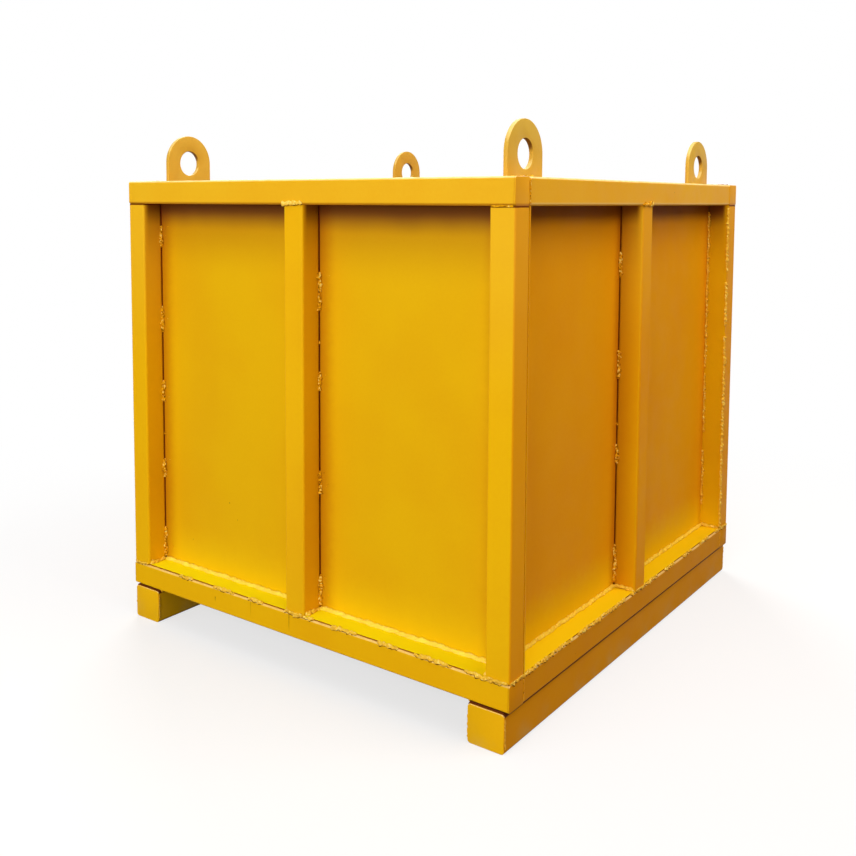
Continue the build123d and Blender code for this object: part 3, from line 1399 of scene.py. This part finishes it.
    @staticmethod
    def bare_enamels() -> list[Enamel]:
        """The finishes without seams, of the lugs and the weld beads.

        Returns:
            The finishes.
        """
        lug = {"cloud": 0.7, "side_share": 0.0, "roughness": 0.5, "specular": 0.2}
        weld = {"cloud": 0.4, "side_share": 0.6, "roughness": 0.4, "specular": 0.02, "peel": 0.00001}
        return [
            Enamel("lug", LUG_YELLOW, LUG_AMBER, rubbed=0.5, under_shade_share=0.9, **lug),
            Enamel("weld", WELD_AMBER, speck_share=0.0, beads=True, **weld),
        ]

    def __getitem__(self, name: str) -> Material:
        """The material of a finish."""
        return self.finishes[name]


# Sub-assemblies


@dataclass(frozen=True)
class Coat:
    """What nodes whose names start alike are painted with. Those with an edge are plates to ease."""

    start: str
    finish: str
    slot: str = ""
    edge: float = 0.0
    segments: int = 2

    SHARP_DEG = 40.0
    FLAT_DEG = 0.5
    MERGED = 1e-6

    def ease(self, node: str, material: Material) -> None:
        """Replaces a CAD plate by a copy whose edges are eased and carry paint.

        Args:
            node: The plate's node.
            material: The plate's finish.
        """
        plate = new_piece(f"{node}_eased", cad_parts[node].data.copy())
        select_only(plate)
        bpy.ops.object.mode_set(mode="EDIT")
        bpy.ops.mesh.select_all(action="SELECT")
        bpy.ops.mesh.remove_doubles(threshold=self.MERGED)
        bpy.ops.mesh.dissolve_limited(angle_limit=math.radians(self.FLAT_DEG))
        bpy.ops.object.mode_set(mode="OBJECT")
        bevel = plate.modifiers.new("eased_edges", "BEVEL")
        bevel.width = self.edge
        bevel.segments = self.segments
        bevel.limit_method = "ANGLE"
        bevel.angle_limit = math.radians(self.SHARP_DEG)
        bevel.miter_outer = "MITER_ARC"
        bevel.harden_normals = True
        bpy.ops.object.shade_smooth()
        bpy.ops.object.modifier_apply(modifier=bevel.name)
        dress(plate, material)
        hand_over(plate, self.slot, node)


@dataclass
class SubAssembly:
    """A part of the box, whose nodes are painted and then welded."""

    box: BoxFrame
    paint: PaintShop
    welder: Welder
    sides: list[SideFrame]
    coats: tuple[Coat, ...] = ()

    def build(self) -> None:
        """Paints the part and welds it."""
        for name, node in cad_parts.items():
            coat = next((coat for coat in self.coats if name.startswith(coat.start)), None)
            if coat and coat.edge:
                coat.ease(name, self.paint[coat.finish])
            elif coat:
                dress(node, self.paint[coat.finish])
        self.weld()

    def weld(self) -> None:
        """Lays the part's welds."""
        raise NotImplementedError


@dataclass
class SkidBase(SubAssembly):
    """Two skids with their caps, and the tube frame that they carry."""

    coats: tuple[Coat, ...] = (
        Coat("skid_cap", "skid_cap", "skid_paint", 0.0008),
        Coat("base_cap", "base", "base_paint", 0.0008),
        Coat("skid", "skid"),
        Coat("base_beam", "base"),
        Coat("floor_joist", "base"),
    )
    end_gap: float = 0.004
    cap_gap: float = 0.008
    skid_seam: BeadStyle = BeadStyle(Joint.FILLET, 0.006, 0.0046, 0.3, pale=0.3, glint=0.0, spacing=0.002)
    butt_seam: BeadStyle = BeadStyle(Joint.FLAT, 0.0034, 0.0008, 0.35, 0.05, pale=0.1, toe=0.0)
    cap_seam: BeadStyle = BeadStyle(Joint.FLAT, 0.0034, 0.0012, 0.4, 0.05, pale=0.5, toe=0.2)

    def crossings(self) -> list[Run]:
        """Finds the beams and joists that run across the skids.

        Returns:
            The front and rear edge of each one.
        """
        names = [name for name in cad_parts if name.startswith("floor_joist")]
        boxes = [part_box(name) for name in names + ["base_beam_front", "base_beam_rear"]]
        return sorted((low.y, high.y) for low, high in boxes)

    def weld(self) -> None:
        """Welds each skid to the base frame on its inner side, then its caps and the frame's corners."""
        box = self.box
        for side, sign in SIDES:
            inward = Vector((-sign, 0, 0))
            for low, high in self.crossings():
                levels = (low + self.end_gap, high - self.end_gap)
                ends = [Vector((sign * box.skid_in, y, box.base_bottom)) for y in levels]
                self.welder.lay(f"weld_skid_{side}", ends, inward - UP, self.skid_seam)
            for _, end_sign in ENDS:
                heights = (self.cap_gap, box.skid_cap_top - self.cap_gap)
                for x, way in ((box.skid_out, -inward), (box.skid_in, inward)):
                    ends = [Vector((sign * x, end_sign * box.half_depth, z)) for z in heights]
                    self.welder.lay("weld_skid_caps", ends, way, self.cap_seam)
                heights = (box.base_bottom + self.end_gap, box.floor_bottom - self.end_gap)
                ends = [Vector((sign * box.half_width, end_sign * box.inner_y, z)) for z in heights]
                self.welder.lay("weld_base_corners", ends, -inward, self.butt_seam)


@dataclass
class FloorEdge(SubAssembly):
    """The floor plate and the welds that hold its edge to the base frame."""

    coats: tuple[Coat, ...] = (Coat("floor_plate", "floor", "floor_paint", 0.0005),)
    seam: BeadStyle = BeadStyle(
        Joint.FLAT, 0.0056, 0.0028, 0.55, 0.05, pale=0.6, toe=2.5, lump=1.3, glint=0.5
    )
    fine_seam: BeadStyle = BeadStyle(Joint.FLAT, 0.0048, 0.0024, 0.6, 0.1, pale=0.4, toe=2.5, glint=0.6)
    root_gap: float = 0.0004
    lean: Run = (0.85, 0.3)
    unseen: Stitching = Stitching(9, 0.55)
    first_seed: int = 60
    front_runs: tuple[Run, ...] = (
        (-0.495, -0.47), (-0.35, -0.305), (-0.24, -0.175), (-0.135, -0.09), (-0.03, 0.05),
        (0.095, 0.16), (0.21, 0.26), (0.295, 0.38), (0.405, 0.495),
    )
    right_runs: tuple[Run, ...] = (
        (-0.545, -0.31), (-0.29, -0.07), (-0.045, 0.1), (0.14, 0.2), (0.25, 0.31),
        (0.36, 0.42), (0.47, 0.54),
    )

    def weld(self) -> None:
        """Welds the plate's edge on all four sides."""
        chosen = {Side.FRONT: self.front_runs, Side.RIGHT: self.right_runs}
        level = self.box.floor_bottom + self.root_gap
        out_share, up_share = self.lean
        for seed, side in enumerate(self.sides, self.first_seed):
            runs = chosen.get(side.side) or self.unseen.runs(-side.reach, side.reach, seed)
            root = side.outer - self.box.plate_inset + self.root_gap
            face = side.out * out_share + UP * up_share
            for run in runs:
                ends = [side.at(u, root, level) for u in run]
                style = self.seam if side.is_end else self.fine_seam
                self.welder.lay(f"weld_floor_edge_{side.name}", ends, face, style)


@dataclass
class PostFrame(SubAssembly):
    """Corner posts, mid posts and top rails."""

    coats: tuple[Coat, ...] = (
        Coat("corner_post", "corner_post"),
        Coat("mid_post_front", "end_post"),
        Coat("mid_post_rear", "end_post"),
        Coat("mid_post", "side_post"),
        Coat("top_rail_cap", "rail", "frame_paint", 0.0012, 3),
        Coat("top_rail_left", "side_rail"),
        Coat("top_rail_right", "side_rail"),
        Coat("top_rail", "rail"),
    )
    foot: BeadStyle = BeadStyle(Joint.FILLET, 0.007, 0.0053, 0.35, 0.05, pale=0.6, toe=0.8, lump=1.5)
    foot_flat: BeadStyle = BeadStyle(Joint.FLAT, 0.0044, 0.002, 0.5, 0.05, pale=0.6, lump=1.5)
    head: BeadStyle = BeadStyle(
        Joint.FLAT, 0.0062, 0.0038, 0.4, 0.15, pale=1.0, toe=2.0, lump=1.2, glint=1.0
    )
    side_head: BeadStyle = BeadStyle(Joint.FLAT, 0.0056, 0.0032, 0.6, 0.3, toe=1.5, glint=0.6)
    head_ground: BeadStyle = BeadStyle(Joint.FLAT, 0.005, 0.0009, 0.5, 0.05, toe=2.0, glint=0.0, pits=0.6)
    rail_seam: BeadStyle = BeadStyle(Joint.FLAT, 0.004, 0.0014, 0.6, 0.2, toe=1.0, glint=0.3)
    rail_ground: BeadStyle = BeadStyle(
        Joint.FLAT, 0.003, 0.0007, 0.3, 0.05, pale=0.2, toe=0.0, glint=0.0, pits=0.3
    )
    head_overlap: float = 0.004
    head_lift: float = 0.0025
    end_gap: float = 0.003

    def weld(self) -> None:
        """Welds the posts' feet and heads and the rails' corners."""
        for side in self.sides:
            self.weld_posts(side)
            if not side.is_end:
                self.weld_rail_corners(side)

    def weld_posts(self, side: SideFrame) -> None:
        """Welds the feet and heads of one side's three posts.

        Args:
            side: The side.
        """
        half, gap, lay = side.half, self.end_gap, self.welder.lay
        low, high = self.box.floor_top, self.box.rail_bottom
        feet, heads = f"weld_post_feet_{side.name}", f"weld_post_heads_{side.name}"
        faces = ((-side.reach, 2 * half - side.reach), (-half, half), (side.reach - 2 * half, side.reach))
        for left, right in faces:
            flush = (left + gap, right - gap)
            lay(feet, [side.at(u, side.outer, low) for u in flush], side.out, self.foot_flat)
            if left < 0 < right:
                over = (left - self.head_overlap, right)
                ends = [side.at(u, side.outer, high + self.head_lift) for u in over]
                lay(heads, ends, side.out, self.head if side.is_end else self.side_head)
            elif left > 0 and side.is_end:
                lay(heads, [side.at(u, side.outer, high) for u in flush], side.out, self.head_ground)
        for u, way in side.grooves:
            ends = [side.at(u, w, low) for w in (side.panel, side.outer - gap)]
            lay(feet, ends, side.across * way + UP, self.foot)

    def weld_rail_corners(self, side: SideFrame) -> None:
        """Welds the butt joints of one side rail; the rear ones are ground flush.

        Args:
            side: The side.
        """
        box, gap = self.box, self.end_gap
        for u in (-box.inner_y, box.inner_y):
            upright = [side.at(u, side.outer, z) for z in (box.rail_bottom + gap, box.rail_top - gap)]
            style = self.rail_ground if upright[0].y > 0 else self.rail_seam
            self.welder.lay("weld_rail_corners", upright, side.out, style)
            level = [side.at(u, w, box.rail_top) for w in (side.panel + gap, side.outer - gap)]
            self.welder.lay("weld_rail_corners", level, UP, self.rail_seam)


@dataclass
class WallPanels(SubAssembly):
    """The four wall sheets and the stitches that hold them."""

    coats: tuple[Coat, ...] = (
        Coat("wall_panel_front", "end_panel"),
        Coat("wall_panel_rear", "end_panel"),
        Coat("wall_panel", "side_panel"),
    )
    foot: BeadStyle = BeadStyle(
        Joint.FILLET, 0.008, 0.006, 0.2, 0.0, pale=1.0, toe=0.0, lump=2.0, glint=0.0, lemon=1.0
    )
    side_foot: BeadStyle = BeadStyle(
        Joint.FILLET, 0.007, 0.0053, 0.25, 0.0, pale=0.6, toe=0.4, lump=1.5, glint=0.0, lemon=1.0
    )
    stitch: BeadStyle = BeadStyle(Joint.FILLET, 0.006, 0.0047, 0.5, 0.2, toe=0.9, glint=0.6)
    edge: BeadStyle = BeadStyle(
        Joint.FLAT, 0.0044, 0.0027, 0.5, 0.2, pale=0.5, toe=0.1, glint=0.4, pits=0.3
    )
    chain: BeadStyle = BeadStyle(
        Joint.FILLET, 0.0046, 0.0036, 0.5, 0.2, pale=0.4, toe=0.0, glint=0.25, pits=0.1
    )
    drop: BeadStyle = BeadStyle(Joint.FLAT, 0.0015, 0.0012, 0.0, 0.0, toe=0.7)
    inside: BeadStyle = BeadStyle(Joint.FILLET, 0.005, 0.004, 0.25, pale=0.3, spacing=0.002)
    drop_spacing: float = 0.016
    drop_reach: Run = (0.011, 0.026)
    drop_length: Run = (0.002, 0.0034)
    groove_gaps: Run = (0.006, 0.02)
    edge_gaps: Run = (0.01, 0.004)
    edge_depth: float = 0.001
    stitching: Stitching = Stitching(5, 0.36)
    chaining: Stitching = Stitching(4, 0.85)
    edging: Stitching = Stitching(5, 0.9)
    inside_foot: Stitching = Stitching(6, 0.5)
    inside_top: Stitching = Stitching(6, 0.4)
    inside_corner: Stitching = Stitching(5, 0.5)
    left_groove: tuple[Run, ...] = (
        (0.135, 0.205), (0.32, 0.365), (0.421, 0.427), (0.497, 0.548), (0.658, 0.718), (0.851, 0.901),
    )
    mid_groove: tuple[Run, ...] = (
        (0.134, 0.2), (0.366, 0.415), (0.577, 0.617), (0.672, 0.679), (0.738, 0.817),
    )
    right_groove: tuple[Run, ...] = (
        (0.136, 0.222), (0.396, 0.441), (0.481, 0.488), (0.582, 0.644), (0.797, 0.853),
    )

    # What is added to a side's seed for each kind of weld
    EDGE_SEED = 20
    FOOT_SEED = 40
    TOP_SEED = 50
    CORNER_SEED = 60

    def weld(self) -> None:
        """Welds every sheet outside and inside."""
        for side in self.sides:
            self.weld_foot(side)
            self.weld_grooves(side)
            if not side.is_end:
                self.weld_edges(side)
            self.weld_inside(side)

    def weld_foot(self, side: SideFrame) -> None:
        """Welds a sheet's foot to the floor plate outside.

        Args:
            side: The side.
        """
        style = self.foot if side.is_end else self.side_foot
        for span in ((-side.bay, -side.half), (side.half, side.bay)):
            ends = [side.at(u, side.panel, self.box.floor_top) for u in span]
            self.welder.lay(f"weld_panel_foot_{side.name}", ends, side.out + UP, style)

    def weld_grooves(self, side: SideFrame) -> None:
        """Stitches a sheet to its posts.

        Args:
            side: The side.
        """
        chosen = {
            (Side.FRONT, -side.bay): self.left_groove,
            (Side.FRONT, side.half): self.mid_groove,
            (Side.RIGHT, -side.half): self.right_groove,
        }
        foot_gap, head_gap = self.groove_gaps
        span = (self.box.floor_top + foot_gap, self.box.rail_bottom - head_gap)
        for groove_seed, (u, way) in enumerate(side.grooves, side.seed):
            chained = abs(u) == side.bay and not side.is_end
            style, stitching = (self.chain, self.chaining) if chained else (self.stitch, self.stitching)
            for run in chosen.get((side.side, u)) or stitching.runs(*span, groove_seed):
                ends = [side.at(u, side.panel, z) for z in (run[::-1] if way > 0 else run)]
                self.welder.lay(f"weld_stitches_{side.name}", ends, side.out + side.across * way, style)
                if not chained:
                    self.spatter(side, u, way, run)

    def spatter(self, side: SideFrame, u: float, way: float, run: Run) -> None:
        """Leaves drops of weld metal on the sheet beside a stitch.

        Args:
            side: The side.
            u: Where the stitch is.
            way: 1 if the sheet lies to the right of it, -1 if to the left.
            run: The stitch's lower and upper end.
        """
        draw = np.random.default_rng(self.welder.laid)
        low, high = run
        for _ in range(int((high - low) / self.drop_spacing)):
            beside = u + way * draw.uniform(*self.drop_reach)
            place = side.at(beside, side.panel, draw.uniform(low, high))
            ends = [place, place + UP * draw.uniform(*self.drop_length)]
            self.welder.lay(f"weld_spatter_{side.name}", ends, side.out, self.drop)

    def weld_edges(self, side: SideFrame) -> None:
        """Welds the ends of the rear sheet to the corner posts; the front sheet's are welded inside only.

        Args:
            side: The left or the right side, where the ends show.
        """
        box, way = self.box, side.across.y
        foot_gap, head_gap = self.edge_gaps
        span = (box.floor_top + foot_gap, box.rail_bottom - head_gap)
        for run in self.edging.runs(*span, side.seed + self.EDGE_SEED):
            ends = [side.at(way * box.panel_in_y, side.outer - self.edge_depth, z) for z in run]
            self.welder.lay(f"weld_panel_ends_{side.name}", ends, side.out - side.across * way, self.edge)

    def weld_inside(self, side: SideFrame) -> None:
        """Welds a sheet's foot and top inside the box, and a side sheet's upright corners.

        Args:
            side: The side.
        """
        box, seam = self.box, f"weld_inside_{side.name}"
        reach = box.panel_in_x if side.is_end else box.panel_in_y
        foot = (self.inside_foot, self.FOOT_SEED, side.panel_in, box.floor_top)
        top = (self.inside_top, self.TOP_SEED, side.panel, box.panel_top)
        for stitching, step, w, z in (foot, top):
            for run in stitching.runs(-reach, reach, side.seed + step):
                self.welder.lay(seam, [side.at(u, w, z) for u in run], UP - side.out, self.inside)
        if side.is_end:
            return
        for step, way in enumerate((-1.0, 1.0), self.CORNER_SEED):
            face = -side.out - side.across * way
            for run in self.inside_corner.runs(box.floor_top, box.rail_bottom, side.seed + step):
                ends = [side.at(way * box.panel_in_y, side.panel_in, z) for z in run]
                self.welder.lay(seam, ends, face, self.inside)


@dataclass
class LiftingLugs(SubAssembly):
    """Four upright plates with an eye, welded inside the side rails."""

    coats: tuple[Coat, ...] = (Coat("lifting_lug", "lug", "lug_paint", 0.0012, 3),)
    tail_gap: float = 0.012
    head_gap: float = 0.003
    top_seam: BeadStyle = BeadStyle(Joint.FILLET, 0.008, 0.0062, 0.3, pale=0.5)
    side_seam: BeadStyle = BeadStyle(Joint.FILLET, 0.007, 0.0054, 0.25, pale=0.3)

    def weld(self) -> None:
        """Welds each lug to its rail and its sheet."""
        level = self.box.panel_top
        for end, _ in ENDS:
            for side, sign in SIDES:
                seam = f"weld_lug_{end}_{side}"
                low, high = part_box(f"lifting_lug_{end}_{side}")
                x = sign * self.box.panel_in_x
                ends = [Vector((x, y, level)) for y in (low.y, high.y)]
                self.welder.lay(seam, ends, Vector((sign, 0.0, 1.0)), self.top_seam)
                for y, way in ((low.y, -1.0), (high.y, 1.0)):
                    ends = [Vector((x, y, z)) for z in (low.z + self.tail_gap, level - self.head_gap)]
                    self.welder.lay(seam, ends, Vector((-sign, way, 0.0)), self.side_seam)


# Studio


@dataclass(frozen=True)
class SoftBox:
    """A square lamp that faces the box."""

    name: str
    place: Triple
    size: float
    power: float
    colour: Triple = (1.0, 1.0, 1.0)

    AIM = Vector((0.0, 0.0, 0.5))

    def build(self) -> None:
        """Hangs the lamp."""
        light = bpy.data.lights.new(self.name, "AREA")
        light.size = self.size
        light.energy = self.power
        light.color = self.colour
        lamp = new_piece(self.name, light)
        lamp.location = self.place
        lamp.rotation_mode = "QUATERNION"
        lamp.rotation_quaternion = (self.AIM - Vector(self.place)).to_track_quat("-Z", "Y")


@dataclass
class Studio:
    """A pale floor, an even sky and soft lamps."""

    floor_radius: float = 30.0
    floor_sides: int = 96
    floor_seen: float = 0.97
    floor_bounce: float = 0.2
    floor_glow: float = 0.68
    fade_start: float = 0.9
    fade_end: float = 2.2
    sky: float = 0.02
    lamps: tuple[SoftBox, ...] = (
        SoftBox("overhead_box", (0.3, -0.4, 2.6), 2.4, 30.0),
        SoftBox("key_box", (-1.8, -4.6, 2.2), 3.0, 52.0),
        SoftBox("front_box", (0.9, -5.0, 1.8), 3.0, 138.0),
        SoftBox("right_box", (3.2, 0.6, 3.5), 3.0, 109.0, (1.0, 0.95, 0.88)),
        SoftBox("corner_box", (3.6, -2.6, 3.2), 2.0, 18.0, (1.0, 0.86, 0.78)),
        SoftBox("rear_box", (-4.0, 3.6, 3.0), 3.5, 300.0),
    )

    def build(self) -> None:
        """Builds the floor, the world and the lamps."""
        self.build_floor()
        self.build_world()
        for lamp in self.lamps:
            lamp.build()

    @staticmethod
    def empty(owner: Material | bpy.types.World) -> Graph:
        """Empties the shader tree of a material or a world.

        Args:
            owner: The material or the world.

        Returns:
            The tree's graph.
        """
        owner.use_nodes = True
        owner.node_tree.nodes.clear()
        return Graph(owner.node_tree)

    @staticmethod
    def grey(level: float) -> tuple[float, ...]:
        """A grey as Blender's sockets take it."""
        return level, level, level, 1.0

    @staticmethod
    def seen(graph: Graph) -> Socket:
        """Tells the rays that show the background itself from those that light the box.

        Args:
            graph: The graph of the floor or the sky.

        Returns:
            A mask.
        """
        path = graph.node("ShaderNodeLightPath").outputs
        straight = graph.maths("MAXIMUM", path["Is Camera Ray"], path["Is Glossy Ray"])
        return graph.maths("MAXIMUM", straight, path["Is Transmission Ray"])

    def build_floor(self) -> None:
        """Makes the floor, which keeps the box's shadow and fades to white."""
        bpy.ops.object.select_all(action="DESELECT")
        bpy.ops.mesh.primitive_circle_add(
            vertices=self.floor_sides, radius=self.floor_radius, fill_type="NGON"
        )
        floor = bpy.context.object
        floor.name = "studio_floor"
        material = bpy.data.materials.new("studio_floor")
        graph = self.empty(material)
        seen = self.seen(graph)
        shade = graph.blend(seen, self.grey(self.floor_bounce), self.grey(self.floor_seen))
        matt = graph.node("ShaderNodeBsdfDiffuse", {"Color": shade})
        glow = graph.node("ShaderNodeEmission", {"Color": WHITE.linear(), "Strength": 1.0})
        away = graph.node("ShaderNodeVectorMath", {0: graph.place()}, operation="LENGTH").outputs["Value"]
        share = graph.product(graph.ease(away, self.fade_start, self.fade_end, self.floor_glow), seen)
        mixed = graph.node("ShaderNodeMixShader", {0: share, 1: matt.outputs[0], 2: glow.outputs[0]})
        graph.node("ShaderNodeOutputMaterial", {"Surface": mixed.outputs[0]})
        dress(floor, material)

    def build_world(self) -> None:
        """Makes a dim even sky, which is white where it is seen."""
        world = bpy.data.worlds.new("studio_sky")
        bpy.context.scene.world = world
        graph = self.empty(world)
        dim, white = (
            graph.node("ShaderNodeBackground", {"Color": shade, "Strength": 1.0})
            for shade in (self.grey(self.sky), WHITE.linear())
        )
        shares = {0: self.seen(graph), 1: dim.outputs[0], 2: white.outputs[0]}
        mixed = graph.node("ShaderNodeMixShader", shares)
        graph.node("ShaderNodeOutputWorld", {"Surface": mixed.outputs[0]})


@dataclass
class PhotoCamera:
    """A camera where the photographer stood. The picture is a crop, so its lens is shifted."""

    place: Triple = (1.3450, -2.0001, 0.9571)
    heading_deg: float = 36.921
    pitch_deg: float = -4.476
    roll_deg: float = -0.174
    picture_px: float = 856.0
    focal_px: float = 1004.2
    axis_x_px: float = 396.9
    axis_y_px: float = 280.0
    sensor_mm: float = 36.0

    def build(self) -> None:
        """Makes the camera and gives it to the scene."""
        heading, pitch, roll = (math.radians(a) for a in (self.heading_deg, self.pitch_deg, self.roll_deg))
        level = math.cos(pitch)
        forward = Vector((-math.sin(heading) * level, math.cos(heading) * level, math.sin(pitch)))
        right = Vector((math.cos(heading), math.sin(heading), 0.0))
        down = forward.cross(right)
        turned_right = math.cos(roll) * right + math.sin(roll) * down
        turned_down = -math.sin(roll) * right + math.cos(roll) * down
        lens = bpy.data.cameras.new("photo_camera")
        lens.sensor_fit = "HORIZONTAL"
        lens.sensor_width = self.sensor_mm
        lens.lens = self.sensor_mm * self.focal_px / self.picture_px
        middle = self.picture_px / 2
        lens.shift_x = (middle - self.axis_x_px) / self.picture_px
        lens.shift_y = (self.axis_y_px - middle) / self.picture_px
        camera = new_piece("photo_camera", lens)
        axes = Matrix((turned_right, -turned_down, -forward)).transposed()
        camera.matrix_world = Matrix.Translation(self.place) @ axes.to_4x4()
        bpy.context.scene.camera = camera


def main() -> None:
    """Builds the looks of the lifting box around its frame."""
    logging.basicConfig(level=logging.INFO, format="%(name)s: %(message)s")
    bpy.context.scene.view_settings.view_transform = "Standard"
    box = BoxFrame.measured()
    sides = [SideFrame.of(side, box) for side in Side]
    paint = PaintShop(box)
    welder = Welder()
    for part in (SkidBase, FloorEdge, PostFrame, WallPanels, LiftingLugs):
        part(box, paint, welder, sides).build()
    welder.finish(paint["weld"], "frame_paint")

    Studio().build()
    PhotoCamera().build()


if __name__ == "__main__":
    main()
